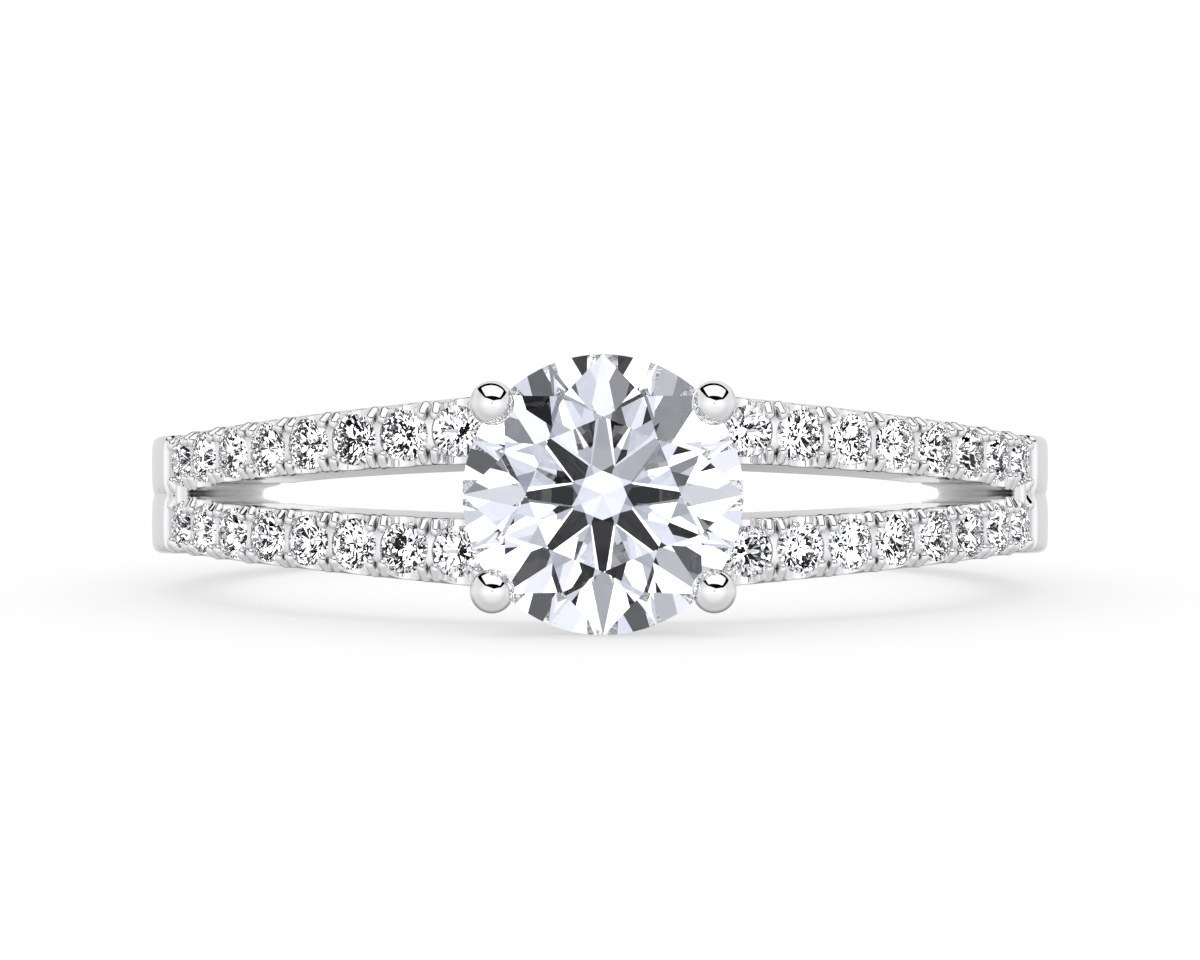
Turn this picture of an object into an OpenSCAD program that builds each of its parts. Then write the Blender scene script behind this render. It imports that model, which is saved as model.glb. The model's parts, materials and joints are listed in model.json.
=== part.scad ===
// Split-shank ring, lying on its side: +X to the right, the head towards -Y, the finger hole's axis near +Z.
// The origin is the middle of the finger hole. Angles around the ring are measured from the head.

/* [Band] */
// Diameter of the finger hole
hole_d = 17.3; // [16:0.1:19]
// Wall of the plain back of the band
band_wall = 1.85; // [1.6:0.05:2.1]
// Width of the plain back of the band
band_w = 2.74; // [2.6:0.02:3]
// Rounding of the plain band's edges
band_round = 0.2; // [0.1:0.02:0.3]
// Depth of the groove along the middle of the band, where it is seen from the side
groove_depth = 0.06; // [0.02:0.01:0.1]

/* [Strands] */
// Angle from the head at which the plain band ends and the stones begin
field_end = 76; // [74:0.5:79]
// How far the metal between the small stones lies below the plain band
field_drop = 0.14; // [0.08:0.02:0.2]
// Width across both strands at the head
head_w = 4.36; // [4.2:0.02:4.5]
// Angle from the head at which the strands reach that width
head_end = 17.2; // [14:0.2:20]
// Angle from the head at which the strands part on the outside
split_outer = 69; // [67:0.5:70]
// Angle from the head at which the gap opens on the finger side
split_inner = 66.5; // [64:0.5:67]
// Width of the gap at the head, on the outside
gap_outer_w = 1.29; // [1.1:0.02:1.4]
// Width of the gap at the head, on the finger side
gap_inner_w = 0.98; // [0.8:0.02:1.1]

/* [Small stones] */
// Diameter of a small stone
pave_d = 1.18; // [1.1:0.01:1.22]
// Angle from the head of the stone nearest to it
pave_first = 18.8; // [18:0.1:19.5]
// Angle between one stone and the next
pave_pitch = 7.37; // [7.3:0.01:7.45]
// Height of the first stone above the middle of the ring
pave_first_z = 1.38; // [1.36:0.01:1.42]
// Height of the last stone above the middle of the ring
pave_last_z = 0.74; // [0.72:0.01:0.78]
// How far a small stone's girdle lies below the plain band
pave_sink = 0.2; // [0.16:0.01:0.24]
// Radius of the scallop cut out through the side at each stone
scallop_r = 0.4; // [0.3:0.01:0.42]
// Diameter of a bead prong
bead_d = 0.22; // [0.18:0.01:0.23]

/* [Head] */
// Diameter of the centre stone
stone_d = 6.4; // [6:0.1:6.8]
// Height of the centre stone's girdle above the finger
stone_height = 3.95; // [3.9:0.05:4.3]
// How far the head sits below the middle of the band
head_low = 0.1; // [0:0.02:0.16]
// Diameter of a prong's ball tip
ball_d = 1.02; // [0.8:0.02:1.1]
// Ball tip's distance from the stone's axis, across
ball_x = 2.53; // [2.4:0.01:2.7]
// Ball tip's distance from the stone's axis, up and down
ball_z = 2.14; // [2:0.02:2.3]
// How far the prongs sit below the middle of the stone
prong_low = 0.06; // [0:0.02:0.1]
// Diameter of a prong below its tip
prong_d = 0.84; // [0.7:0.02:0.9]
// Diameter of the wire of the gallery rail
rail_d = 0.7; // [0.5:0.05:0.8]

/* [Cut of the stones] */
// Table width as a share of the stone's diameter
table_share = 0.55; // [0.5:0.01:0.62]
// Slope of the crown's kite facets
crown_angle = 34.5; // [32:0.5:36]
// Slope of the pavilion's main facets
pavilion_angle = 40.8; // [40:0.1:42]
// How near to the middle the facets below the girdle come, as a share of the radius
lower_share = 0.23; // [0.15:0.01:0.3]
// Thickness of the girdle as a share of the diameter
girdle_share = 0.02; // [0.015:0.005:0.04]

/* [Hidden] */
// Radii of the ring and its lofts, which run past the walls that they cut
hole_r = hole_d / 2;
band_r = hole_r + band_wall;
field_r = band_r - field_drop;
loft_in = hole_r - 0.5;
loft_out = band_r + 0.5;
// How much narrower the front is across its outermost edges than on the finger side, on each side
side_lean = 0.08;
// How far the middle groove's centre lies behind the ring's, which makes it fade out
groove_back = 0.08;
// Powers that shape the sides' spread and the gap's outline on the outside and the finger side
spread_power = 1.2;
gap_outer_power = 0.63;
gap_inner_power = 0.5;
// Gaps left round the centre stone and the small stones
stone_gap = 0.03;
pave_gap = 0.02;

// Small stones: eight on each strand, given as side of the ring, then upper or lower
PAVE_PER_STRAND = 8;
STRANDS = [[1, 1], [1, -1], [-1, 1], [-1, -1]];
STONES = PAVE_PER_STRAND * len(STRANDS);
girdle_r = band_r - pave_sink;
scallop_at = band_r - 0.1;
// Beads: spacing of a pair, distance from the row's middle, and where they begin and end
bead_pair = 0.24;
bead_across = 0.56;
bead_foot = band_r - 0.6;
bead_top = band_r + 0.02;

// Head, measured from the middle of the centre stone's girdle, +Z outwards
stone_reach = hole_r + stone_height;
ball_up = 0.48;
prong_foot = [1.75, 1.5, -3.1];
prong_foot_d = 0.8;
gallery_r = 2.68;
gallery_z = -1.45;
base_r = 1.68;
base_z = -2.75;
base_d = 0.76;
well_r = 1.9;
well_z = -2.85;
// Angle between one kite facet and the next
facet_turn = 360 / 8;

// Names and places of the small stones
function pave_name(i) = str("pave_stone_", i < 10 ? "0" : "", i);
function pave_angle(k) = pave_first + pave_pitch * k;
function row_z(angle) = pave_first_z
    - (pave_first_z - pave_last_z) * (angle - pave_first) / (pave_pitch * (PAVE_PER_STRAND - 1));

// Half the width across both strands, and half the gap between them, at an angle from the head
function half_w(angle) = band_w / 2 + (head_w - band_w) / 2
    * pow(max(0, field_end - max(angle, head_end)) / (field_end - head_end), spread_power);
function gap_outer(angle) = gap_outer_w / 2
    * pow(max(0, split_outer - max(angle, head_end)) / (split_outer - head_end), gap_outer_power);
function gap_inner(angle) = gap_inner_w / 2
    * pow(max(0, split_inner - max(angle, head_end)) / (split_inner - head_end), gap_inner_power);

// Tilt at which the ring rests on the centre stone's lowest point and on the back of the band
rest_y = band_r - band_round + stone_reach - stone_d * girdle_share / 2;
rest_z = band_w / 2 - band_round - head_low - stone_d / 2;
tilt = asin(-band_round / norm([rest_y, rest_z])) - atan2(rest_z, rest_y);

module lay() {
    rotate([-tilt, 0, 0]) children();
}

// Puts a child on a radius of the ring, its +Z outwards
module radial(angle, radius, z) {
    rotate([0, 0, angle - 90])
        translate([radius, 0, z])
            rotate([0, 90, 0])
                children();
}

// Puts a child on the centre stone's axis, its +Z towards the viewer and its origin at the girdle
module on_head() {
    translate([0, -stone_reach, -head_low])
        rotate([90, 0, 0])
            children();
}

// Round brilliant: a table, 8 stars, 8 kites, 32 halves, 8 pavilion mains and a round girdle at z = 0
module brilliant(d) {
    r = d / 2;
    wide = r * 1.08;
    girdle = d * girdle_share / 2;
    table_r = r * table_share;
    table_z = girdle + (r - table_r) * tan(crown_angle);
    star_r = (table_r * cos(facet_turn / 2) + r) / 2;
    star_z = girdle + (r - star_r * cos(facet_turn / 2)) * tan(crown_angle);
    lower_r = r * lower_share;
    lower_z = -girdle - (r - lower_r * cos(facet_turn / 2)) * tan(pavilion_angle);
    culet_z = -girdle - r * tan(pavilion_angle);
    rings = [
        facet_ring(0, table_r, table_z),
        facet_ring(0.5, star_r, star_z),
        facet_ring(0, r, girdle),
        facet_ring(0, wide, ridge_z(r, girdle, star_r, star_z, wide)),
        facet_ring(0.5, wide, girdle + (star_z - girdle) / (star_r - r) * (wide - r)),
        facet_ring(0.5, wide, -girdle + (lower_z + girdle) / (lower_r - r) * (wide - r)),
        facet_ring(0, wide, ridge_z(r, -girdle, lower_r, lower_z, wide)),
        facet_ring(0, r, -girdle),
        facet_ring(0.5, lower_r, lower_z),
    ];
    points = concat([for (ring = rings) each ring], [[0, 0, culet_z]]);
    culet = len(points) - 1;
    faces = concat(
        [[for (k = [7 : -1 : 0]) k]],
        [for (k = [0 : 7]) each [
            [at(0, k), at(0, k + 1), at(1, k)],
            [at(0, k), at(1, k), at(2, k), at(1, k - 1)],
            [at(1, k), at(4, k), at(3, k), at(2, k)],
            [at(1, k - 1), at(2, k), at(3, k), at(4, k - 1)],
            [at(3, k), at(4, k), at(5, k), at(6, k)],
            [at(4, k), at(3, k + 1), at(6, k + 1), at(5, k)],
            [at(7, k), at(6, k), at(5, k), at(8, k)],
            [at(7, k), at(8, k - 1), at(5, k - 1), at(6, k)],
            [at(7, k), at(8, k), culet, at(8, k - 1)],
        ]]
    );
    intersection() {
        polyhedron(points, faces, convexity = 2);
        cylinder(h = d, r = r, center = true, $fn = 64);
    }
}
function at(ring, k) = ring * 8 + (k + 8) % 8;
function facet_ring(offset_turns, radius, z) = [
    for (k = [0 : 7]) [
        radius * cos(facet_turn * (k + offset_turns)),
        radius * sin(facet_turn * (k + offset_turns)),
        z
    ]
];
// Height, straight out from a kite, of the two girdle facets that meet there
function ridge_z(r, girdle, mid_r, mid_z, radius) =
    let (
        a = [r, 0, girdle],
        b = [r * cos(facet_turn / 2), r * sin(facet_turn / 2), girdle],
        c = [mid_r * cos(facet_turn / 2), mid_r * sin(facet_turn / 2), mid_z],
        n = cross(b - a, c - a)
    )
    girdle - n[0] / n[2] * (radius - r);

// Closed loft of four-cornered sections, each a list of points
module loft(sections) {
    last = len(sections) - 1;
    points = [for (section = sections) each section];
    polyhedron(points, concat(
        [[0, 1, 2, 3]],
        [for (i = [0 : last - 1]) for (k = [0 : 3])
            [i * 4 + k, (i + 1) * 4 + k, (i + 1) * 4 + (k + 1) % 4, i * 4 + (k + 1) % 4]],
        [[last * 4 + 3, last * 4 + 2, last * 4 + 1, last * 4]]
    ), convexity = 4);
}
function on_ring(angle, radius, z) = [radius * sin(angle), -radius * cos(angle), z];

// The front of the ring between its two sides, which lean in a little towards the outside
module front_envelope() {
    reach = field_end + 4;
    loft([for (angle = [-reach : reach / 20 : reach])
        let (inner = half_w(abs(angle)) + 0.01, outer = half_w(abs(angle)) - side_lean)
        [
            on_ring(angle, loft_in, -inner),
            on_ring(angle, loft_in, inner),
            on_ring(angle, loft_out, outer),
            on_ring(angle, loft_out, -outer),
        ]]);
}

// The gap between the strands, from one split round the head to the other
module split_gap() {
    half_turn = concat([for (a = [0 : 5 : 55]) a], [59, 62, 64, split_inner - 1, split_inner,
        (split_inner + split_outer) / 2, split_outer]);
    angles = concat([for (i = [len(half_turn) - 1 : -1 : 1]) -half_turn[i]], half_turn);
    least = 0.01;
    loft([for (angle = angles)
        let (
            at_hole = max(gap_inner(abs(angle)), least),
            at_field = max(gap_outer(abs(angle)), least),
            lean = (at_field - at_hole) / (field_r - hole_r),
            inner = max(at_hole - lean * (hole_r - loft_in), least),
            outer = at_field + lean * (loft_out - field_r)
        )
        [
            on_ring(angle, loft_in, -inner),
            on_ring(angle, loft_in, inner),
            on_ring(angle, loft_out, outer),
            on_ring(angle, loft_out, -outer),
        ]]);
}

module annulus(outer_r, h) {
    difference() {
        cylinder(h = h, r = outer_r, center = true, $fn = 180);
        cylinder(h = h + 1, r = hole_r, center = true, $fn = 180);
    }
}

// Plain back of the band, with rounded edges
module plain_band() {
    half = band_w / 2;
    rotate([0, 0, field_end - 90])
        rotate_extrude(angle = 360 - 2 * field_end, $fn = 180)
            union() {
                translate([hole_r, band_round - half])
                    square([band_wall, band_w - 2 * band_round]);
                translate([hole_r + band_round, -half])
                    square([band_wall - 2 * band_round, band_w]);
                for (r = [hole_r + band_round, band_r - band_round], z = [-1, 1])
                    translate([r, z * (half - band_round)])
                        circle(r = band_round, $fn = 24);
            }
}

// Soft groove round the band's middle, which fades out towards the back
module middle_groove() {
    tip_r = band_r - groove_depth;
    translate([0, groove_back, 0])
        rotate_extrude($fn = 180)
            polygon([[tip_r, 0], [tip_r + 0.4, 1], [tip_r + 0.4, -1]]);
}

// Scallops from the middle of each stone out through the side of its strand
module scallops() {
    reach = head_w;
    for (strand = STRANDS, k = [0 : PAVE_PER_STRAND - 1]) {
        z = row_z(pave_angle(k));
        rotate([0, 0, strand[0] * pave_angle(k) - 90])
            translate([scallop_at, 0, strand[1] > 0 ? z : -z - reach])
                cylinder(h = reach, r = scallop_r, $fn = 32);
    }
}

// Bead prongs: two on each edge of a strand between one stone and the next, and one past each end stone
module beads() {
    turn = asin(bead_pair / 2 / girdle_r);
    for (strand = STRANDS, k = [0 : PAVE_PER_STRAND - 1], toward = [-1, 1], edge = [-1, 1]) {
        gap_angle = pave_angle(k + toward / 2);
        z = row_z(gap_angle);
        across = edge > 0 ? min(bead_across, half_w(gap_angle) - bead_d / 2 - z) : -bead_across;
        radial(strand[0] * (gap_angle - toward * turn), bead_foot, strand[1] * (z + across))
            bead();
    }
}
module bead() {
    straight = bead_top - bead_d / 2 - bead_foot;
    cylinder(h = straight, d = bead_d, $fn = 20);
    translate([0, 0, straight])
        sphere(d = bead_d, $fn = 20);
}

// Seats of the small stones
module seats() {
    for (strand = STRANDS, k = [0 : PAVE_PER_STRAND - 1])
        radial(strand[0] * pave_angle(k), girdle_r, strand[1] * row_z(pave_angle(k)))
            stone_room(pave_d, pave_gap, 0, 1);
}

// Space for a stone and a gap round it: a cone below the girdle and walls above, which may lean in
module stone_room(d, gap, lean, up) {
    r = d / 2 + gap;
    girdle = d * girdle_share / 2 + gap;
    rotate_extrude($fn = 48)
        polygon([
            [0, -girdle - r * tan(pavilion_angle)],
            [r, -girdle],
            [r, girdle],
            [r - up * tan(lean), girdle + up],
            [0, girdle + up],
        ]);
}

// Rod from one point to another
module rod(from, to, from_d, to_d) {
    way = to - from;
    translate(from)
        rotate([0, acos(way[2] / norm(way)), atan2(way[1], way[0])])
            cylinder(h = norm(way), d1 = from_d, d2 = to_d, $fn = 32);
}

// Four prongs with ball tips, tied by a gallery rail and a base rail
module head() {
    for (x = [-1, 1], y = [-1, 1])
        translate([0, -prong_low, 0]) {
            tip = [x * ball_x, y * ball_z, ball_up];
            rod([x * prong_foot[0], y * prong_foot[1], prong_foot[2]], tip, prong_foot_d, prong_d);
            translate(tip)
                sphere(d = ball_d, $fn = 40);
        }
    rail(gallery_r, gallery_z, rail_d);
    rail(base_r, base_z, base_d);
}
module rail(radius, z, wire_d) {
    translate([0, 0, z])
        rotate_extrude($fn = 64)
            translate([radius, 0])
                circle(d = wire_d, $fn = 24);
}

// Room below the centre stone
module head_well() {
    translate([0, 0, well_z])
        cylinder(h = 6, r = well_r, $fn = 64);
}

// Plain band and strands, cut but with no beads or seats yet
module shank() {
    difference() {
        union() {
            plain_band();
            intersection() {
                annulus(field_r, 2 * head_w);
                front_envelope();
            }
        }
        middle_groove();
        split_gap();
        on_head() head_well();
        scallops();
    }
}

module shank_and_head() {
    color("#d9dadc") lay() difference() {
        union() {
            shank();
            beads();
            on_head() head();
        }
        seats();
        on_head() stone_room(stone_d, stone_gap, 48, 1.5);
    }
}

module centre_stone() {
    color("#eef3f8") lay() on_head() brilliant(stone_d);
}

module pave_stone(i) {
    strand = STRANDS[floor((i - 1) / PAVE_PER_STRAND)];
    angle = pave_angle((i - 1) % PAVE_PER_STRAND);
    color("#eef3f8") lay()
        radial(strand[0] * angle, girdle_r, strand[1] * row_z(angle))
            brilliant(pave_d);
}

shank_and_head();
centre_stone();
for (i = [1 : STONES])
    pave_stone(i);
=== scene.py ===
"""Looks of a split-shank ring with a round centre stone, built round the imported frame.

Lengths in the shape functions are millimetres in the ring's own coordinates: the ring stands level, +X is
to the right, the head is towards -Y and angles run in degrees from the head. Each shape function gives the
distance to a surface, below zero inside the metal, and made() turns such a distance into a mesh, laid on
its side as the ring rests and scaled to metres.
"""
import json
import math

import bpy
import numpy as np
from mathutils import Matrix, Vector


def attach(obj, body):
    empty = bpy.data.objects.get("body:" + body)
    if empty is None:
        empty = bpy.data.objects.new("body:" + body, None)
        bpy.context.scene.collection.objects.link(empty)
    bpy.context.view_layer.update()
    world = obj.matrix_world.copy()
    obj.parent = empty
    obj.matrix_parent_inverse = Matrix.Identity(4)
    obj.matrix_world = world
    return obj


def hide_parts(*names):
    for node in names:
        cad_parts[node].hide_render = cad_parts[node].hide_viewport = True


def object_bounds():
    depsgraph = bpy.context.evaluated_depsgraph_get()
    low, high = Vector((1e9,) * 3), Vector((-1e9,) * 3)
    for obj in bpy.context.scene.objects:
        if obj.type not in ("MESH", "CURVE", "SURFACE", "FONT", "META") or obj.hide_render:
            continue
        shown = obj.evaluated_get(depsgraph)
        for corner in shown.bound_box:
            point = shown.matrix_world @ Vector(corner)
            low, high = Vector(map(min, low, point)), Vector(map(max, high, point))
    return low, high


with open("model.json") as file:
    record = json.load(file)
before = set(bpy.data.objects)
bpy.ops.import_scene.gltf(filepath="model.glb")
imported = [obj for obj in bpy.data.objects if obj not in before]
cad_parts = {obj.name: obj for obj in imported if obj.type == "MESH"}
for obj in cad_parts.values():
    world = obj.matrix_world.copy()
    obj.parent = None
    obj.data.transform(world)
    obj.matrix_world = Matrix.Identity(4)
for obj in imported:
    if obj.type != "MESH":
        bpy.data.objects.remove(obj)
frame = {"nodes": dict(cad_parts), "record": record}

import openvdb
from mathutils import Matrix, Vector

CAD_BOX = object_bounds()
MM = 0.001

# Band: its sizes, the dome of its finger side and the lobes either side of its middle groove
HOLE_R = frame["record"]["mounts"][0]["dims"]["r_mm"]
BAND_R = CAD_BOX[1].x / MM
BAND_W = 2.74
DOME, LOBE = 0.09, 0.03
GROOVE_DEPTH, GROOVE_SLOPE, GROOVE_BACK = 0.06, 0.4, 0.08

# Strands and the gap between them
FIELD_END, FIELD_DROP = 76, 0.14
FIELD_R = BAND_R - FIELD_DROP
STEP_ANGLE = 0.7
HEAD_W, HEAD_END = 4.36, 17.2
SPREAD_POWER = 1.2
# Slope of the strands' outer sides and the radius from which they lean in
BEVEL, BEVEL_FROM = 0.3, BAND_R - 0.5
SPLIT_OUTER, GAP_OUTER_W, GAP_OUTER_POWER = 69, 1.29, 0.63
SPLIT_INNER, GAP_INNER_W, GAP_INNER_POWER = 66.5, 0.98, 0.5
# Shares of its length at which the gap stops closing and its walls count as level
GAP_LEAST, GAP_LEVEL = 0.004, 0.005
# Web that closes the gap, from where it leaves the finger side to where it meets the outside
WEB_INNER, WEB_OUTER, WEB_SCALE = 65.0, 69.0, 0.45

# Small stones, their seats and scallops
PAVE_R = 0.59
PAVE_FIRST, PAVE_PITCH, PAVE_LAST = 18.8, 7.37, 7
PAVE_FIRST_Z, PAVE_LAST_Z = 1.38, 0.74
GIRDLE_R = BAND_R - 0.2
PAVILION_SLOPE = math.tan(math.radians(40.8))
SEAT_GAP = 0.02
# The scallops lie further out on the gap's side of a row, and change over this width in its middle
SCALLOP_AT, SCALLOP_R = BAND_R - 0.1, 0.4
GAP_SCALLOP_UP, SCALLOP_CHANGE = 0.17, 0.3

# Beads in pairs: their round tips over the stones' edges, and the radius of their knees and feet
BEAD_R, BEAD_PAIR, FOOT_SHARE = 0.132, 0.135, 0.9
TIP_LEAN, TIP_ACROSS, TIP_AT = 0.03, 0.43, BAND_R - 0.1
OUTER_LEAN, OUTER_KNEE_AT, OUTER_FOOT_AT = 0.01, BAND_R - 0.26, BAND_R - 0.6
GAP_KNEE_ACROSS, GAP_KNEE_OFF_WALL = 0.6, 0.1
GAP_KNEE_AT, GAP_FOOT_AT = BAND_R - 0.2, BAND_R - 0.5

# Head, measured from the middle of the centre stone's girdle
STONE_R = 3.2
STONE_REACH = HOLE_R + 3.95
HEAD_LOW, PRONG_LOW = 0.1, 0.06
BALL, BALL_R = (2.53, 2.14, 0.48), 0.51
FOOT, FOOT_R = (1.75, 1.5, -3.1), 0.4
PRONG_R = 0.42
# Rails, each by its radius, height and wire radius
GALLERY = (2.68, -1.45, 0.35)
BASE = (1.68, -2.75, 0.38)
WELL_R, WELL_FLOOR = 1.9, -2.85
ROOM_GAP, ROOM_GIRDLE, ROOM_LEAN = 0.03, 0.094, math.radians(48)

# Rounding where two surfaces meet, first on the band and strands and then on the head
BAND_ROUND, STRAND_ROUND, FINGER_ROUND = 0.25, 0.06, 0.2
GROOVE_ROUND, WEB_ROUND, GAP_ROUND = 0.04, 0.2, 0.05
SCALLOP_ROUND, SEAT_ROUND, BEAD_ROUND = 0.03, 0.02, 0.02
WELL_ROUND, BALL_ROUND, RAIL_ROUND, STRAND_END_ROUND, ROOM_ROUND = 0.05, 0.05, 0.12, 0.1, 0.03

# Where the metal is divided into pieces, each running a little into the next and sinking below it there
HEAD_CUT, FORK_CUT, BACK_CUT = 14.5, PAVE_FIRST + 5.5 * PAVE_PITCH, 80
LAP, SINK = 0.5, 0.02
# Steps of the grids from which the meshes are made: strands, head, and the plain back by angle and by length
FINE, COARSE = 0.034, 0.044
BACK_TURN, BACK_STEP = 1.4, 0.06
# How high those grids reach, how far they pass the band inside and out, and the corners of the head's own
STRAND_Z, FORK_Z, BACK_Z = (0.3, 2.4), (-1.8, 1.8), (-1.5, 1.5)
GRID_R = (HOLE_R - 0.1, BAND_R + 0.2)
HEAD_LOWEST, HEAD_HIGHEST = (-3.4, -STONE_REACH - 1.1, -3.4), (3.4, -HOLE_R + 0.4, 3.2)

AXIS = frame["record"]["mounts"][0]["axis"]
TILT = math.atan2(AXIS[1], AXIS[2])
LAY = np.array(Matrix.Rotation(-TILT, 3, "X"))

# Camera: its distance, turn and rise, the height it looks at and its lens, in metres but for the lens
CAMERA_AWAY, CAMERA_TURN, CAMERA_RISE = 0.45, math.radians(-0.31), TILT - math.radians(0.5)
AIM_UP, SENSOR, LENS = 0.000345, 36, 576
TO_LENS = Matrix.Rotation(math.radians(90) - CAMERA_RISE, 4, "X")

# White metal, and the satin of its finger side and of the webs that close the gap, whose whiter colour is
# painted light
METAL, HAZE, HAZE_SCALE = (0.83, 0.83, 0.835), (0.015, 0.05), 2500
SATIN_PAINTED_LIGHT, SATIN_ROUGH, SATIN_METALLIC = (0.97, 0.97, 0.97), 0.55, 0.35
# Where the satin and its painted light fade out, in millimetres: the finger side by radius, and the webs by Y,
# by distance from the middle and by radius
INSIDE_R = (8.8, 8.86)
WEB_Y, WEB_Z, WEB_R = (-5.2, -4.5), (0.25, 0.45), (10.15, 10.25)
# The walls of the gap, by how squarely they face it, and the two greys of their painted shade and the scale of
# its streaks
WALL_FACING, WALL_SHADE_STREAKS, STREAK_SCALE = (-0.9, -0.97), ((0.35, 0.42), (0.65, 0.62)), 9000
# Painted shade in the crevices: how dark it gets, how wide they can be, and how strongly it shows inside and
# outside two radii
CREVICE_SHADE, CREVICE_SHADE_REACH = ((0.1, 0.03), (0.5, 0.4), (0.9, 1)), 0.18
CREVICE_SHADE_FROM, CREVICE_SHADE_SHARE = (9.7, 10.0), (0.25, 1)

# Diamond: its refraction, the two hairs of colour in it and the scale at which they change
DIAMOND_IOR, DIAMOND_TINTS, TINT_SCALE = 2.417, ((0, (0.985, 0.99, 1)), (1, 1)), 600
CENTRE_GLINT, PAVE_GLINT = 0.12, 0.08

# Light on the floor and in the metal, by height from straight down at 0 to straight up at 1
FLOOR, FLOOR_GLOW, FLOOR_SIZE = (0.31, 0.31, 0.31), 0.575, 6
DOME_LIGHT = ((0, 0.7), (0.5, 1.0), (1, 1.5))
TENT_LIGHT = ((0, 0.9), (0.3, 1.05), (0.45, 1.2), (0.55, 1.22), (0.75, 1.12), (1, 1.05))
BEHIND_LIGHT = ((0, 0.25), (0.3, 0.35), (0.41, 0.72), (0.47, 0.8), (0.53, 0.81), (0.59, 0.66), (0.7, 0.9),
                (1, 0.95))
# The same by depth, from the camera's side at 0 to the far side at 1
DOME_SIDE = ((0, 1), (0.5, 1), (1, 1.3))
SIDE_SHADE = ((0.1, 1), (0.32, 0.78), (0.68, 0.8), (0.8, 1))
BEHIND_FROM = (0.3, 0.7)

# Patches of light in the stones: degrees off the lens, then brightness and contrast
PATCH_SCALE = 7
LENS_ZONES = ((0, 0.62, 0), (14, 0.58, 0.2), (17.5, 0.58, 0.5), (20, 0.92, 0.6), (31, 0.92, 0.6),
              (34, 0.84, 0.5), (38, 0.86, 0.5), (43, 0.9, 0.4), (45.5, 0.9, 0.2), (48, 0.58, 3),
              (180, 0.58, 3))
SPARKLE_LIGHT = ((0, (0.01, 0.01, 0.015)), (0.25, (0.1, 0.115, 0.15)), (0.5, (0.42, 0.45, 0.52)),
                 (0.75, (0.8, 0.83, 0.95)), (0.88, (1.05, 1.07, 1.12)), (1, (2, 2, 2)))

# Softbox and its black border: their height in metres and their corners as shares of it
SOFTBOX, SOFTBOX_UP, BORDER_UP = 1.25, 0.6, 0.606
SOFTBOX_CORNERS = ((-0.78, -1.05), (1.3, -1.2), (0.95, 0.26), (-0.1, 0.35), (-0.73, 0.5))
BORDER_CORNERS = ((-1.15, -1.3), (0.45, -3.2), (2.1, -1.8), (1.4, 0.6), (0, 0.8), (-1.1, 1.5))

# Tones of the cards that the centre stone's eight arrows and their tips mirror, counter-clockwise from the
# right, and how many degrees off the lens those cards stand
ARROWS, ARROWS_OFF = (0.04, 0.45, 0.4, 0.04, 0.04, 0.04, 0.02, 0.04), 12.8
TIPS, TIPS_OFF = (0.65, 0.25, 0.95, 1, 0.7, 0.07, 0.4, 0.5), 10.0
# More cards of one tone: degrees off the lens and degrees round it from the right
CARDS = (
    (0.01, ((6.5, 342), (6.7, 108), (16.2, 27), (16.4, 40), (16.2, 73), (16, 139), (16.2, 294), (22.3, 183),
            (33, 100), (34.6, 79), (34.5, 220), (129.3, 103), (130.6, 81))),
    (0.1, ((15.4, 300), (16.6, 224), (22.4, 267), (39.2, 224), (40, 181))),
    (0.27, ((22.4, 139), (22.4, 355), (23.4, 86), (25.8, 97), (26.4, 51.5), (27.2, 130), (29.5, 231),
            (32.7, 56), (34.7, 264), (36, 261), (37.3, 163), (37.9, 60.5))),
    (0.5, ((39.4, 0),)),
)
# Their distance and their size, which is smaller up to so many degrees off the lens
CARDS_AWAY, CARD_NEAR, CARD_SMALL, CARD_LARGE = 0.4, 24, 0.019, 0.03
CARD_TINT = (1, 1.03, 1.12)
LENS_CARD = 0.034

# Small black and white flags over the strands: the black ones' share, and the white ones' light
FLAG_R, FLAG_SIZE, FLAG_SHARE, FLAG_LIGHT = BAND_R + 1.5, 0.5, 0.55, 2.2
FLAG_ANGLES, FLAG_RISES = (17, 87), (-2.2, 3.4)


def smooth_max(a, b, k):
    """The larger of two distances, with the edge where they are equal rounded over about k."""
    near = np.maximum(k - np.abs(a - b), 0) / k
    return np.maximum(a, b) + near * near * k / 4


def smooth_min(a, b, k):
    return -smooth_max(-a, -b, k)


def cut(body, tool, k):
    return smooth_max(body, -tool, k)


def capsule(p, a, b, radius_a, radius_b):
    """Distance from the points p to a rod with round ends from a to b."""
    way = [end - start for start, end in zip(a, b)]
    from_a = [c - start for c, start in zip(p, a)]
    share = sum(f * w for f, w in zip(from_a, way)) / sum(w * w for w in way)
    share = np.clip(share, 0, 1)
    off = sum((f - share * w) ** 2 for f, w in zip(from_a, way))
    return np.sqrt(off) - (radius_a + share * (radius_b - radius_a))


def half_width(angle):
    """Half the width across both strands."""
    share = np.maximum(FIELD_END - np.maximum(angle, HEAD_END), 0) / (FIELD_END - HEAD_END)
    return BAND_W / 2 + (HEAD_W - BAND_W) / 2 * share**SPREAD_POWER


def half_gap(angle, radius):
    """Half the gap between the strands, and how steeply its walls run."""

    def one_side(width, split, power):
        share = np.maximum((split - np.maximum(angle, HEAD_END)) / (split - HEAD_END), GAP_LEAST)
        steep = width / 2 * power * share ** (power - 1) / np.radians(split - HEAD_END)
        return width / 2 * share**power, np.where((angle < HEAD_END) | (share < GAP_LEVEL), 0, steep)

    inner, inner_steep = one_side(GAP_INNER_W, SPLIT_INNER, GAP_INNER_POWER)
    outer, outer_steep = one_side(GAP_OUTER_W, SPLIT_OUTER, GAP_OUTER_POWER)
    share = (radius - HOLE_R) / (FIELD_R - HOLE_R)
    lean = (outer - inner) / (FIELD_R - HOLE_R)
    along = (inner_steep + (outer_steep - inner_steep) * share) / radius
    return inner + (outer - inner) * share, np.sqrt(1 + lean * lean + along * along)


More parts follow.
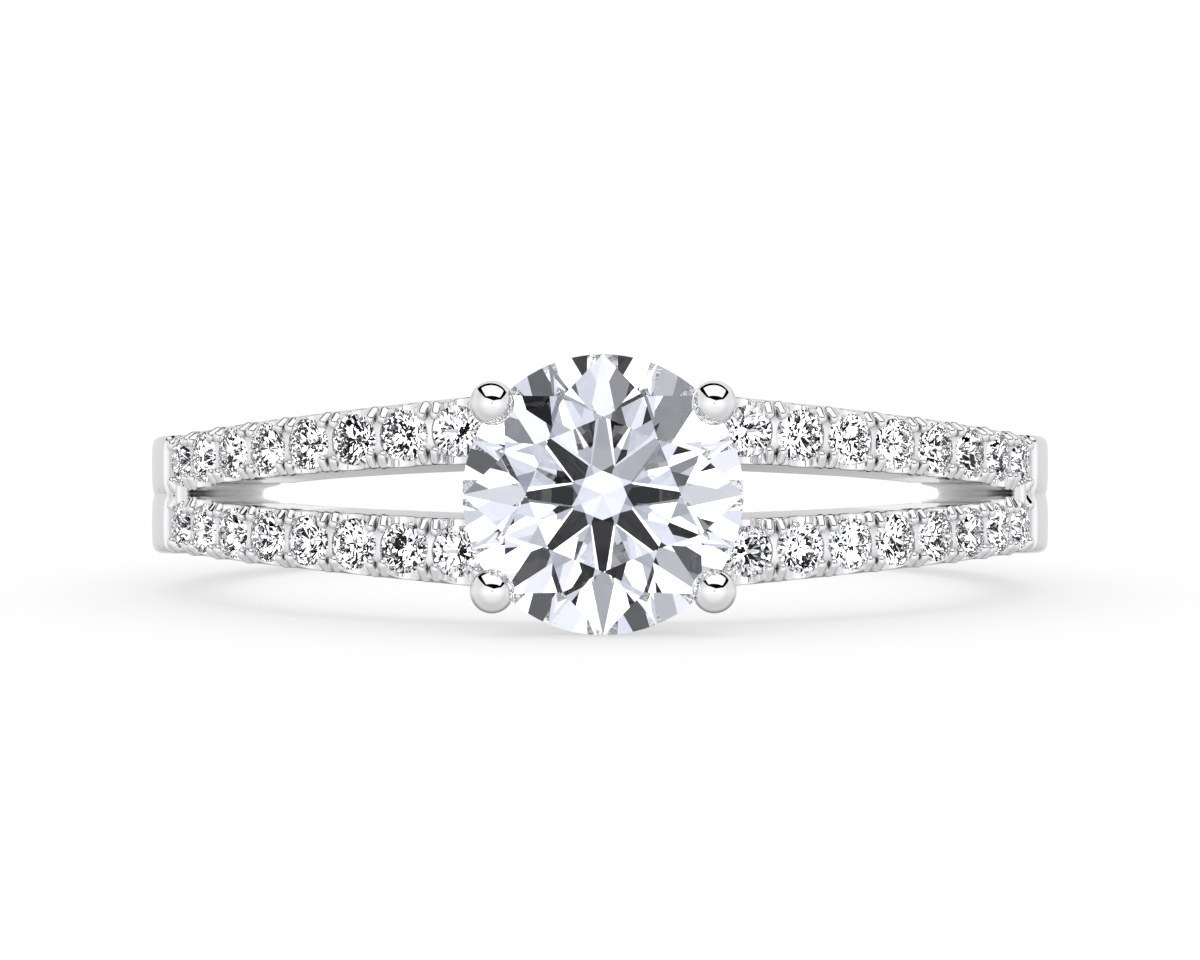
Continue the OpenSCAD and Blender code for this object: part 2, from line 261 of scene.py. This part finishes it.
def row_z(angle):
    """Height of the row of small stones above the middle of the ring."""
    share = (angle - PAVE_FIRST) / (PAVE_PITCH * PAVE_LAST)
    return PAVE_FIRST_Z + (PAVE_LAST_Z - PAVE_FIRST_Z) * share


def band(angle, radius, z):
    """The plain band and the strands, with the gap between them but no stones yet."""
    half_z = BAND_W / 2
    step = np.clip((angle - FIELD_END) / STEP_ANGLE + 0.5, 0, 1)
    lobe = LOBE * ((z - half_z / 2) / (half_z / 2)) ** 2 * step
    top = radius - (FIELD_R + FIELD_DROP * step * step * (3 - 2 * step) - lobe)
    floor = HOLE_R + DOME * (z / half_width(angle)) ** 2 - radius
    side = z - half_width(angle) + BEVEL * (1 - step) * np.maximum(radius - BEVEL_FROM, 0)
    body = smooth_max(top, side, STRAND_ROUND + (BAND_ROUND - STRAND_ROUND) * step)
    body = smooth_max(body, floor, FINGER_ROUND)
    groove_radius = np.sqrt(radius**2 + 2 * GROOVE_BACK * radius * np.cos(np.radians(angle)) + GROOVE_BACK**2)
    groove = GROOVE_SLOPE * z - (groove_radius - (BAND_R - GROOVE_DEPTH))
    body = cut(body, groove / math.hypot(1, GROOVE_SLOPE), GROOVE_ROUND)
    gap, steep = half_gap(angle, radius)
    web_r = HOLE_R + (FIELD_R - HOLE_R) * (angle - WEB_INNER) / (WEB_OUTER - WEB_INNER)
    web = (web_r - radius) * WEB_SCALE
    return cut(body, smooth_max((z - gap) / steep, web, WEB_ROUND), GAP_ROUND)


def seated(body, angle, radius, z):
    """The body with the nearest small stone's scallop and seat cut out of it."""
    stone = np.clip(np.round((angle - PAVE_FIRST) / PAVE_PITCH), 0, PAVE_LAST)
    stone_angle = PAVE_FIRST + PAVE_PITCH * stone
    turn = np.radians(angle - stone_angle)
    along, up = radius * np.sin(turn), radius * np.cos(turn)
    off_row = z - row_z(stone_angle)
    outside = np.clip(off_row / SCALLOP_CHANGE + 0.5, 0, 1)
    scallop_at = SCALLOP_AT + GAP_SCALLOP_UP * (1 - outside)
    body = cut(body, np.hypot(along, up - scallop_at) - SCALLOP_R, SCALLOP_ROUND)
    from_axis = np.hypot(along, off_row)
    seat_r = PAVE_R + SEAT_GAP
    cone = -SEAT_GAP - (seat_r - from_axis) * PAVILION_SLOPE - (up - GIRDLE_R)
    seat = np.maximum(from_axis - seat_r, cone / math.hypot(1, PAVILION_SLOPE))
    return cut(body, seat, SEAT_ROUND)


def column(p, tip, knee, foot):
    """A bead prong: its round tip over the stone's edge, its knee and its foot down the side."""
    upper = capsule(p, tip, knee, BEAD_R, BEAD_R)
    return np.minimum(upper, capsule(p, knee, foot, BEAD_R, BEAD_R * FOOT_SHARE))


def beads(angle, radius, z):
    """The nearest pair of beads on each side of the row. The row's two ends have single beads."""
    bar = np.clip(np.floor((angle - PAVE_FIRST) / PAVE_PITCH), -1, PAVE_LAST) + 0.5
    bar_angle = PAVE_FIRST + PAVE_PITCH * bar
    turn = np.radians(angle - bar_angle)
    along, up = radius * np.sin(turn), radius * np.cos(turn)
    from_bead = np.abs(along) - BEAD_PAIR
    from_bead = np.where(bar < 0, along - BEAD_PAIR, from_bead)
    from_bead = np.where(bar > PAVE_LAST, along + BEAD_PAIR, from_bead)
    p = (from_bead, z, up)
    bar_z = row_z(bar_angle)
    side = half_width(bar_angle) - BEAD_R
    outer_tip, inner_tip = (TIP_LEAN, bar_z + TIP_ACROSS, TIP_AT), (TIP_LEAN, bar_z - TIP_ACROSS, TIP_AT)
    outer = column(p, outer_tip, (0, side - OUTER_LEAN, OUTER_KNEE_AT), (-OUTER_LEAN, side, OUTER_FOOT_AT))
    wall, _ = half_gap(bar_angle, FIELD_R)
    knee_z = np.maximum(bar_z - GAP_KNEE_ACROSS, wall + GAP_KNEE_OFF_WALL)
    inner = column(p, inner_tip, (0, knee_z, GAP_KNEE_AT), (0, knee_z, GAP_FOOT_AT))
    return np.minimum(outer, inner)


def shank(angle, radius, z):
    """The band with its scallops, seats and beads. It is the same on both sides and above and below."""
    z = np.abs(z)
    body = seated(band(angle, radius, z), angle, radius, z)
    return smooth_min(body, beads(angle, radius, z), BEAD_ROUND)


def whole_shank(angle, radius, z):
    """The shank all the way round, where angles past 180 degrees come back round the other side."""
    return shank(np.where(angle > 180, 360 - angle, angle), radius, z)


def ended(body, past, radius):
    """The body cut off a lap beyond where past, in degrees, is zero. It sinks over two laps up to there."""
    near = np.clip(past / (2 * LAP) + 0.5, 0, 1)
    return np.maximum(body + SINK * near * near, (past - LAP) * radius * math.pi / 180)


def clipped_shank(low, high):
    """The shank between two angles, and a lap more."""

    def distance(angle, radius, z):
        return ended(whole_shank(angle, radius, z), np.maximum(low - angle, angle - high), radius)

    return distance


def ring_rail(from_axis, c, radius, height, wire_r):
    return np.hypot(from_axis - radius, c - height) - wire_r


def head(x, y, z, ends=True):
    """The prongs, rails and the ends of the strands under the stone, less the stone's own room."""
    a, b, c = np.abs(x), z + HEAD_LOW, -y - STONE_REACH
    from_axis = np.hypot(a, b)
    angle, radius = np.degrees(np.arctan2(a, -y)), np.hypot(x, y)
    strands = shank(angle, radius, z)
    if ends:
        strands = ended(strands, angle - HEAD_CUT, radius)
    strands = cut(strands, np.maximum(from_axis - WELL_R, WELL_FLOOR - c), WELL_ROUND)

    b = np.abs(b + PRONG_LOW)
    prong = capsule((a, b, c), FOOT, BALL, FOOT_R, PRONG_R)
    ball = np.sqrt((a - BALL[0]) ** 2 + (b - BALL[1]) ** 2 + (c - BALL[2]) ** 2) - BALL_R
    metal = smooth_min(prong, ball, BALL_ROUND)
    for rail in (GALLERY, BASE):
        metal = smooth_min(metal, ring_rail(from_axis, c, *rail), RAIL_ROUND)
    metal = smooth_min(metal, strands, STRAND_END_ROUND)

    room_r = STONE_R + ROOM_GAP
    below = (-ROOM_GIRDLE - (room_r - from_axis) * PAVILION_SLOPE - c) / math.hypot(1, PAVILION_SLOPE)
    above = (from_axis - room_r) * math.cos(ROOM_LEAN) + (c - ROOM_GIRDLE) * math.sin(ROOM_LEAN)
    room = np.maximum(np.maximum(below, above), from_axis - room_r)
    return cut(metal, room, ROOM_ROUND)


def endless_head(x, y, z):
    return head(x, y, z, ends=False)


def to_ring(angle, radius, z):
    """Points from their angle, radius and height."""
    turn = np.radians(angle)
    return np.stack([radius * np.sin(turn), -radius * np.cos(turn), z + 0 * angle], -1)


def to_points(x, y, z):
    return np.stack([x, y, z], -1)


def surface(distance, shading, low, high, steps, to_points):
    """Points, normals and polygons of the surface where distance is zero, found on a grid of steps.

    The grid runs over the three numbers that distance takes, and to_points turns them into ring points. The
    normals are those of the shading distance, which has no ends, so that the light runs on across a joint.
    """
    counts = [int(math.ceil((h - l) / s)) + 1 for l, h, s in zip(low, high, steps)]
    axes = [l + s * np.arange(n) for l, s, n in zip(low, steps, counts)]
    values = distance(axes[0][:, None, None], axes[1][None, :, None], axes[2][None, None, :])
    grid = openvdb.FloatGrid(1.0)
    grid.copyFromArray(np.ascontiguousarray(np.broadcast_to(values, counts), np.float32))
    where, triangles, quads = grid.convertToPolygons(isovalue=0.0, adaptivity=0.0)
    where = np.asarray(low) + np.asarray(where, float) * np.asarray(steps)
    where = drawn_in(where, distance, to_points)
    return to_points(*where.T), normals_of(where, shading, to_points), triangles, quads


def drawn_in(where, distance, to_points):
    """Places on the grid drawn in to the true surface, by a few short moves along its slope."""
    nudge, stride, least_slope, rounds = 0.002, 0.02, 0.2, 3

    def at(numbers):
        return distance(*numbers.T)

    moves = np.eye(3) * nudge
    ways = [to_points(*(where + m).T) - to_points(*where.T) for m in moves]
    scale = np.stack([np.linalg.norm(way, axis=1) for way in ways], 1)
    scale /= nudge
    for _ in range(rounds):
        slope = np.stack([at(where + m) - at(where - m) for m in moves], 1) / (2 * nudge) / scale
        move = (at(where) / np.maximum((slope * slope).sum(1), least_slope))[:, None] * slope
        where = where - np.clip(move, -stride, stride) / scale
    return where


def normals_of(where, shading, to_points):
    """Directions straight out of the surface at these places on the grid."""
    nudge = 0.008
    moves = np.eye(3) * nudge
    slope = np.stack([shading(*(where + m).T) - shading(*(where - m).T) for m in moves], 1)
    sides = np.stack([to_points(*(where + m).T) - to_points(*(where - m).T) for m in moves], 1)
    sides /= (sides**2).sum(2, keepdims=True)
    normals = (slope[:, :, None] * sides).sum(1)
    return normals / np.linalg.norm(normals, axis=1, keepdims=True)


def made(name, shape, material, mirror=(1, 1)):
    """An object from a surface, mirrored across X or Z where asked, laid as the ring rests."""
    points, normals, triangles, quads = shape
    flip = np.array([mirror[0], 1, mirror[1]])
    points, normals = points * flip, normals * flip
    corners = [np.asarray(triangles, int), np.asarray(quads, int)]
    first = corners[1] if len(corners[1]) else corners[0]
    edge_a, edge_b = points[first[:, 1]] - points[first[:, 0]], points[first[:, 2]] - points[first[:, 0]]
    if (np.cross(edge_a, edge_b) * normals[first[:, 0]]).sum() < 0:
        corners = [c[:, ::-1] for c in corners]
    sizes = np.concatenate([np.full(len(c), c.shape[1]) for c in corners if len(c)])
    loops = np.concatenate([c.ravel() for c in corners if len(c)])
    mesh = bpy.data.meshes.new(name)
    mesh.vertices.add(len(points))
    mesh.vertices.foreach_set("co", (points @ LAY.T * MM).astype(np.float32).ravel())
    mesh.loops.add(len(loops))
    mesh.loops.foreach_set("vertex_index", loops.astype(np.int32))
    mesh.polygons.add(len(sizes))
    mesh.polygons.foreach_set("loop_start", (np.cumsum(sizes) - sizes).astype(np.int32))
    mesh.polygons.foreach_set("use_smooth", np.ones(len(sizes), bool))
    mesh.update(calc_edges=True)
    mesh.normals_split_custom_set_from_vertices(normals @ LAY.T)
    piece = bpy.data.objects.new(name, mesh)
    bpy.context.scene.collection.objects.link(piece)
    mesh.materials.append(material)
    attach(piece, "root")
    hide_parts("shank_and_head")


def stretch(first, last, heights, steps):
    """The surface of the shank from one angle to another."""
    low, high = zip((first - 2 * LAP, last + 2 * LAP), GRID_R, heights)
    return surface(clipped_shank(first, last), whole_shank, low, high, steps, to_ring)


def make_metal(material):
    """All the metal: the head, four strands, two forks and the plain back of the band."""
    steps = (math.degrees(FINE / 10), FINE, FINE)
    strand, fork = stretch(HEAD_CUT, FORK_CUT, STRAND_Z, steps), stretch(FORK_CUT, BACK_CUT, FORK_Z, steps)
    for side, x in (("right", 1), ("left", -1)):
        for level, z in (("upper", 1), ("lower", -1)):
            made(f"strand_{level}_{side}", strand, material, (x, z))
        made(f"fork_{side}", fork, material, (x, 1))
    back = stretch(BACK_CUT, 360 - BACK_CUT, BACK_Z, (BACK_TURN, BACK_STEP, BACK_STEP))
    made("band_back", back, material)
    shape = surface(head, endless_head, HEAD_LOWEST, HEAD_HIGHEST, (COARSE,) * 3, to_points)
    made("head", shape, material)


def make_stones():
    """The stones stay as the solids have them and only get their material."""
    centre, pave = diamond("centre_diamond", CENTRE_GLINT), diamond("pave_diamond", PAVE_GLINT)
    for name, node in frame["nodes"].items():
        if name != "shank_and_head":
            node.material_slots[0].material = centre if name == "centre_stone" else pave


def nodes_of(block):
    """A block's cleared node tree, and a function that adds a node with its settings."""
    block.use_nodes = True
    tree = block.node_tree
    tree.nodes.clear()

    def add(kind, **settings):
        node = tree.nodes.new(kind)
        for key, value in settings.items():
            setattr(node, key, value)
        return node

    return tree, add


def link(tree, *pairs):
    """Links each pair of an output and an input, which are (node, socket name)."""
    for (source, out), (target, into) in pairs:
        tree.links.new(source.outputs[out], target.inputs[into])


def levelled(add):
    """A node that turns a vector of the lying ring into the upright ring's coordinates."""
    node = add("ShaderNodeMapping")
    node.inputs["Rotation"].default_value = (TILT, 0, 0)
    return node


def range_of(add, source, target):
    """A node that maps one range of numbers to another and stops at its ends."""
    node = add("ShaderNodeMapRange")
    for socket, value in zip(("From Min", "From Max", "To Min", "To Max"), (*source, *target)):
        node.inputs[socket].default_value = value
    return node


def range_mm(add, source, target):
    return range_of(add, [length * MM for length in source], target)


def ramp_of(add, stops):
    """A colour ramp with these (position, colour) stops, a colour being one grey or three numbers."""
    node = add("ShaderNodeValToRGB")
    elements = node.color_ramp.elements
    while len(elements) < len(stops):
        elements.new(0.5)
    for element, (position, color) in zip(elements, stops):
        element.position = position
        element.color = (*(color if isinstance(color, tuple) else (color,) * 3), 1)
    return node


def mix_of(add, a, b):
    node = add("ShaderNodeMix", data_type="RGBA")
    color_in(node, "A").default_value, color_in(node, "B").default_value = (*a, 1), (*b, 1)
    return node


def color_in(node, name):
    """The colour socket of a mix node, which has others of the same name for numbers."""
    return next(i for i in node.inputs if i.name == name and i.type == "RGBA")


def color_out(node):
    return next(o for o in node.outputs if o.type == "RGBA")


def link_mix(tree, node, factor, a, b):
    """Links what is given of a mix node's factor and colours, each as (node, output name)."""
    if factor:
        tree.links.new(factor[0].outputs[factor[1]], node.inputs["Factor"])
    for name, source in (("A", a), ("B", b)):
        if source:
            output = source[0].outputs[source[1]] if source[1] else color_out(source[0])
            tree.links.new(output, color_in(node, name))


def white_gold():
    """Mirror-polished white metal with faint polishing haze, and painted shade in its crevices.

    The inside of the band and the webs are a white satin, whose whiter colour is painted light, and the walls
    of the gap carry painted shade in streaks like those of filing.
    """
    material = bpy.data.materials.new("polished_white_gold")
    tree, add = nodes_of(material)
    output, shader = add("ShaderNodeOutputMaterial"), add("ShaderNodeBsdfPrincipled")
    where, place, at = add("ShaderNodeTexCoord"), levelled(add), add("ShaderNodeSeparateXYZ")
    flat = add("ShaderNodeVectorMath", operation="MULTIPLY")
    flat.inputs[1].default_value = (1, 1, 0)
    radius = add("ShaderNodeVectorMath", operation="LENGTH")
    link(tree, ((where, "Object"), (place, "Vector")), ((place, "Vector"), (at, "Vector")),
         ((place, "Vector"), (flat, 0)), ((flat, 0), (radius, 0)))
    satin_and_light = satin_and_light_places(tree, add, at, radius)
    metallic = range_of(add, (0, 1), (1, SATIN_METALLIC))
    rough = metal_roughness(tree, add, where, satin_and_light)
    color = metal_color(tree, add, at, radius, satin_and_light)
    link(tree, ((satin_and_light, 0), (metallic, "Value")), ((metallic, "Result"), (shader, "Metallic")),
         ((rough, 0), (shader, "Roughness")), ((shader, "BSDF"), (output, "Surface")))
    tree.links.new(color_out(color), shader.inputs["Base Color"])
    return material


def satin_and_light_places(tree, add, at, radius):
    """One where the metal is satin and painted whiter as a stand-in for light, on the inside of the band and
    on the webs, and zero elsewhere.
    """
    inside, low = range_mm(add, INSIDE_R, (1, 0)), range_mm(add, WEB_R, (1, 0))
    near, beyond = range_mm(add, WEB_Z, (1, 0)), range_mm(add, WEB_Y, (0, 1))
    middle, satin_and_light = add("ShaderNodeMath", operation="ABSOLUTE"), add("ShaderNodeMath", operation="MAXIMUM")
    part, web = (add("ShaderNodeMath", operation="MULTIPLY") for _ in range(2))
    link(tree, ((radius, "Value"), (inside, "Value")), ((inside, "Result"), (satin_and_light, 0)),
         ((at, "Z"), (middle, 0)), ((middle, 0), (near, "Value")), ((at, "Y"), (beyond, "Value")),
         ((radius, "Value"), (low, "Value")), ((near, "Result"), (part, 0)), ((beyond, "Result"), (part, 1)),
         ((part, 0), (web, 0)), ((low, "Result"), (web, 1)), ((web, 0), (satin_and_light, 1)))
    return satin_and_light


def metal_roughness(tree, add, where, satin_and_light):
    """A faint haze everywhere, and a rougher surface where the metal is satin."""
    noise, haze = add("ShaderNodeTexNoise"), range_of(add, (0, 1), HAZE)
    noise.inputs["Scale"].default_value = HAZE_SCALE
    noise.inputs["Detail"].default_value = 3
    rough = add("ShaderNodeMath", operation="MULTIPLY_ADD")
    rough.inputs[1].default_value = SATIN_ROUGH
    link(tree, ((where, "Object"), (noise, "Vector")), ((noise, "Fac"), (haze, "Value")),
         ((satin_and_light, 0), (rough, 0)), ((haze, "Result"), (rough, 2)))
    return rough


def metal_color(tree, add, at, radius, satin_and_light):
    """White metal, with painted shade in streaks on the gap's walls, whiter where it is satin, the whiteness
    being painted light, and painted shade in its crevices.
    """
    wall, wall_shade = gap_wall_shade(tree, add, at, radius)
    # Painted shade: ambient occlusion darkens the colour in the crevices
    crevice_occlusion, depth = add("ShaderNodeAmbientOcclusion", samples=4, only_local=True), ramp_of(add, CREVICE_SHADE)
    crevice_occlusion.inputs["Distance"].default_value = CREVICE_SHADE_REACH * MM
    share = range_mm(add, CREVICE_SHADE_FROM, CREVICE_SHADE_SHARE)
    shaded_walls, lit_satin = mix_of(add, METAL, METAL), mix_of(add, METAL, SATIN_PAINTED_LIGHT)
    color_with_painted_shade = add("ShaderNodeMix", data_type="RGBA", blend_type="MULTIPLY")
    link(tree, ((crevice_occlusion, "AO"), (depth, "Fac")), ((radius, "Value"), (share, "Value")))
    # Painted shade on the walls of the gap, in random streaks
    link_mix(tree, shaded_walls, (wall, "Result"), None, (wall_shade, "Color"))
    # The satin's whiter colour is painted light, lifting these parts as if lit
    link_mix(tree, lit_satin, (satin_and_light, 0), (shaded_walls, None), None)
    link_mix(tree, color_with_painted_shade, (share, "Result"), (lit_satin, None), (depth, "Color"))
    return color_with_painted_shade


def gap_wall_shade(tree, add, at, radius):
    """Where the walls of the gap are, and the painted shade on them, in streaks like those of filing."""
    geometry, facing, normal = add("ShaderNodeNewGeometry"), levelled(add), add("ShaderNodeSeparateXYZ")
    half, inward = add("ShaderNodeMath", operation="SIGN"), add("ShaderNodeMath", operation="MULTIPLY")
    wall, wall_shade = range_of(add, WALL_FACING, (0, 1)), ramp_of(add, WALL_SHADE_STREAKS)
    streaks = add("ShaderNodeTexNoise", noise_dimensions="1D")
    streaks.inputs["Scale"].default_value = STREAK_SCALE
    streaks.inputs["Detail"].default_value = 2
    link(tree, ((geometry, "Normal"), (facing, "Vector")), ((facing, "Vector"), (normal, "Vector")),
         ((at, "Z"), (half, 0)), ((half, 0), (inward, 0)), ((normal, "Z"), (inward, 1)),
         ((inward, 0), (wall, "Value")), ((radius, "Value"), (streaks, "W")),
         ((streaks, "Fac"), (wall_shade, "Fac")))
    return wall, wall_shade


def diamond(name, glint):
    """Clear diamond, whose colour varies by a hair from place to place."""
    material = bpy.data.materials.new(name)
    tree, add = nodes_of(material)
    output, shader = add("ShaderNodeOutputMaterial"), add("ShaderNodeBsdfPrincipled")
    where, noise, tint = add("ShaderNodeTexCoord"), add("ShaderNodeTexNoise"), ramp_of(add, DIAMOND_TINTS)
    noise.inputs["Scale"].default_value = TINT_SCALE
    shader.inputs["Roughness"].default_value = 0
    shader.inputs["IOR"].default_value = DIAMOND_IOR
    shader.inputs["Transmission Weight"].default_value = 1
    shader.inputs["Specular Tint"].default_value = (*(glint,) * 3, 1)
    link(tree, ((where, "Object"), (noise, "Vector")), ((noise, "Fac"), (tint, "Fac")),
         ((tint, "Color"), (shader, "Base Color")), ((shader, "BSDF"), (output, "Surface")))
    return material


def glow(name, color, strength):
    """A material that only gives light."""
    material = bpy.data.materials.new(name)
    tree, add = nodes_of(material)
    output, light = add("ShaderNodeOutputMaterial"), add("ShaderNodeEmission")
    light.inputs["Color"].default_value = (*color, 1)
    light.inputs["Strength"].default_value = strength
    link(tree, ((light, "Emission"), (output, "Surface")))
    return material


def light_table():
    """Matt white floor, lit through from below."""
    material = bpy.data.materials.new("white_floor")
    tree, add = nodes_of(material)
    output, shader = add("ShaderNodeOutputMaterial"), add("ShaderNodeBsdfPrincipled")
    shader.inputs["Base Color"].default_value = (*FLOOR, 1)
    shader.inputs["Emission Color"].default_value = (1, 1, 1, 1)
    shader.inputs["Emission Strength"].default_value = FLOOR_GLOW
    shader.inputs["Roughness"].default_value = 1
    shader.inputs["Specular IOR Level"].default_value = 0
    link(tree, ((shader, "BSDF"), (output, "Surface")))
    return material


def staged(name, mesh, material, seen_by):
    """A piece of the studio that only these kinds of light see."""
    piece = bpy.data.objects.new(name, mesh)
    bpy.context.scene.collection.objects.link(piece)
    mesh.materials.append(material)
    for kind in ("camera", "diffuse", "glossy", "transmission", "shadow"):
        setattr(piece, f"visible_{kind}", kind in seen_by)
    return piece


def stage_plane(name, size, place, material, seen_by):
    """A flat square panel of the studio."""
    mesh = bpy.data.meshes.new(name)
    corners = [(x * size / 2, y * size / 2, 0) for x, y in ((-1, -1), (1, -1), (1, 1), (-1, 1))]
    mesh.from_pydata(corners, [], [(0, 1, 2, 3)])
    staged(name, mesh, material, seen_by).matrix_world = place


def overhead(name, corners, height, material):
    """A level panel that only the metal mirrors, its corners given as shares of its height."""
    mesh = bpy.data.meshes.new(name)
    mesh.from_pydata([(x * height, y * height, height) for x, y in corners], [], [range(len(corners))])
    staged(name, mesh, material, ("glossy",))


def make_room():
    """The white room round the ring: even for the floor, shaded for the metal and patched for the stones."""
    world = bpy.data.worlds.new("room")
    bpy.context.scene.world = world
    tree, add = nodes_of(world)
    output, light = add("ShaderNodeOutputWorld"), add("ShaderNodeBackground")
    where, axes, path = add("ShaderNodeTexCoord"), add("ShaderNodeSeparateXYZ"), add("ShaderNodeLightPath")
    height, depth = range_of(add, (-1, 1), (0, 1)), range_of(add, (-1, 1), (0, 1))
    behind = range_of(add, BEHIND_FROM, (0, 1))
    link(tree, ((where, "Generated"), (axes, "Vector")), ((axes, "Z"), (height, "Value")),
         ((axes, "Y"), (depth, "Value")), ((axes, "Y"), (behind, "Value")))
    dome, front, back = (ramp_of(add, stops) for stops in (DOME_LIGHT, TENT_LIGHT, BEHIND_LIGHT))
    side, shade = ramp_of(add, DOME_SIDE), ramp_of(add, SIDE_SHADE)
    for source, ramps in ((height, (dome, front, back)), (depth, (side, shade))):
        link(tree, *(((source, "Result"), (ramp, "Fac")) for ramp in ramps))
    sparkle = stone_light(tree, add, where)
    tent, for_metal, for_stones = (add("ShaderNodeMix", data_type="RGBA") for _ in range(3))
    shaded, around = (add("ShaderNodeMix", data_type="RGBA", blend_type="MULTIPLY") for _ in range(2))
    shaded.inputs["Factor"].default_value = around.inputs["Factor"].default_value = 1
    link_mix(tree, shaded, None, (front, "Color"), (shade, "Color"))
    link_mix(tree, around, None, (dome, "Color"), (side, "Color"))
    link_mix(tree, tent, (behind, "Result"), (shaded, None), (back, "Color"))
    link_mix(tree, for_metal, (path, "Is Glossy Ray"), (around, None), (tent, None))
    link_mix(tree, for_stones, (path, "Is Transmission Ray"), (for_metal, None), (sparkle, "Color"))
    tree.links.new(color_out(for_stones), light.inputs["Color"])
    link(tree, ((light, "Background"), (output, "Surface")))


def stone_light(tree, add, where):
    """Light for the stones, in patches whose brightness and contrast change outwards from the lens."""
    off = add("ShaderNodeVectorMath", operation="DOT_PRODUCT")
    off.inputs[1].default_value = TO_LENS.to_3x3() @ Vector((0, 0, 1))
    angle, share = add("ShaderNodeMath", operation="ARCCOSINE"), add("ShaderNodeMath", operation="DIVIDE")
    share.inputs[1].default_value = math.pi
    zones = ramp_of(add, [(degrees / 180, (level, contrast, 0)) for degrees, level, contrast in LENS_ZONES])
    zone, patches = add("ShaderNodeSeparateColor"), add("ShaderNodeTexVoronoi")
    patches.inputs["Scale"].default_value = PATCH_SCALE
    pick, swing = add("ShaderNodeSeparateColor"), add("ShaderNodeMath", operation="SUBTRACT")
    swing.inputs[1].default_value = 0.5
    tone, sparkle = add("ShaderNodeMath", operation="MULTIPLY_ADD"), ramp_of(add, SPARKLE_LIGHT)
    link(tree, ((where, "Generated"), (off, 0)), ((off, "Value"), (angle, 0)), ((angle, 0), (share, 0)),
         ((share, 0), (zones, "Fac")), ((zones, "Color"), (zone, "Color")),
         ((where, "Generated"), (patches, "Vector")), ((patches, "Color"), (pick, "Color")),
         ((pick, "Red"), (swing, 0)), ((swing, 0), (tone, 0)), ((zone, "Green"), (tone, 1)),
         ((zone, "Red"), (tone, 2)), ((tone, 0), (sparkle, "Fac")))
    return sparkle


def make_cards():
    """Cards round the lens, which only the stones mirror."""
    rows = [(tone, ARROWS_OFF, 45 * i) for i, tone in enumerate(ARROWS)]
    rows += [(tone, TIPS_OFF, 45 * i) for i, tone in enumerate(TIPS)]
    rows += [(tone, off, turn) for tone, places in CARDS for off, turn in places]
    stone = TO_LENS @ Matrix.Translation((0, 0, STONE_REACH * MM))
    away = Matrix.Translation((0, 0, CARDS_AWAY))
    for i, (tone, off, turn) in enumerate(rows):
        turned = Matrix.Rotation(math.radians(turn), 4, "Z") @ Matrix.Rotation(math.radians(off), 4, "Y")
        size = CARD_SMALL if off < CARD_NEAR else CARD_LARGE
        light = glow(f"card_{i}", [tone * share for share in CARD_TINT], 1)
        stage_plane(f"card_{i}", size, stone @ turned @ away, light, ("transmission",))


def make_flags(black):
    """A loose chequer of small black and white flags over the small stones, seen only in their sparkle."""
    turn = math.degrees(FLAG_SIZE / FLAG_R)
    angles, rises = np.arange(*FLAG_ANGLES, turn), np.arange(*FLAG_RISES, FLAG_SIZE)
    dark = np.random.default_rng(7).random((2, len(angles), len(rises))) < FLAG_SHARE
    white = glow("flag_white", (1, 1, 1), FLAG_LIGHT)
    for name, chosen, material in (("black_flags", dark, black), ("white_flags", ~dark, white)):
        corners = []
        for side, i, j in zip(*np.nonzero(chosen)):
            for far, up in ((0, 0), (1, 0), (1, 1), (0, 1)):
                corners.append(((2 * side - 1) * (angles[i] + far * turn), rises[j] + up * FLAG_SIZE))
        turns, heights = np.array(corners).T
        points = to_ring(turns, FLAG_R, heights) @ LAY.T * MM
        mesh = bpy.data.meshes.new(name)
        mesh.from_pydata(points.tolist(), [], [(i, i + 1, i + 2, i + 3) for i in range(0, len(points), 4)])
        staged(name, mesh, material, ("transmission",))


def make_studio():
    """White floor and room, a softbox with a black border, cards round the lens and flags over the strands."""
    under = Matrix.Translation((0, 0, CAD_BOX[0].z))
    stage_plane("floor", FLOOR_SIZE, under, light_table(), ("camera", "diffuse", "shadow"))
    make_room()
    black = glow("black_cloth", (0, 0, 0), 0)
    overhead("softbox", SOFTBOX_CORNERS, SOFTBOX_UP, glow("softbox_light", (1, 1, 1), SOFTBOX))
    overhead("softbox_border", BORDER_CORNERS, BORDER_UP, black)
    stage_plane("lens", LENS_CARD, TO_LENS @ Matrix.Translation((0, 0, CARDS_AWAY)), black, ("glossy",))
    make_cards()
    make_flags(black)


def make_camera():
    """A long lens, as far off and as high as in the photograph."""
    level = math.cos(CAMERA_RISE)
    back = Vector((math.sin(CAMERA_TURN) * level, -math.cos(CAMERA_TURN) * level, math.sin(CAMERA_RISE)))
    camera = bpy.data.objects.new("camera", bpy.data.cameras.new("camera"))
    camera.data.sensor_width, camera.data.lens = SENSOR, LENS
    camera.data.clip_start, camera.data.clip_end = 0.01, 20
    camera.location = Vector((0, 0, AIM_UP)) + CAMERA_AWAY * back
    camera.rotation_mode = "QUATERNION"
    camera.rotation_quaternion = (-back).to_track_quat("-Z", "Y")
    bpy.context.scene.collection.objects.link(camera)
    bpy.context.scene.camera = camera


def make_view():
    """Plain colours, and enough bounces for light to find its way out of a diamond."""
    scene = bpy.context.scene
    scene.view_settings.view_transform = "Standard"
    scene.cycles.max_bounces = 24
    scene.cycles.glossy_bounces = 24
    scene.cycles.transmission_bounces = 24
    scene.cycles.sample_clamp_indirect = 4


make_camera()
make_view()
make_studio()
make_metal(white_gold())
make_stones()
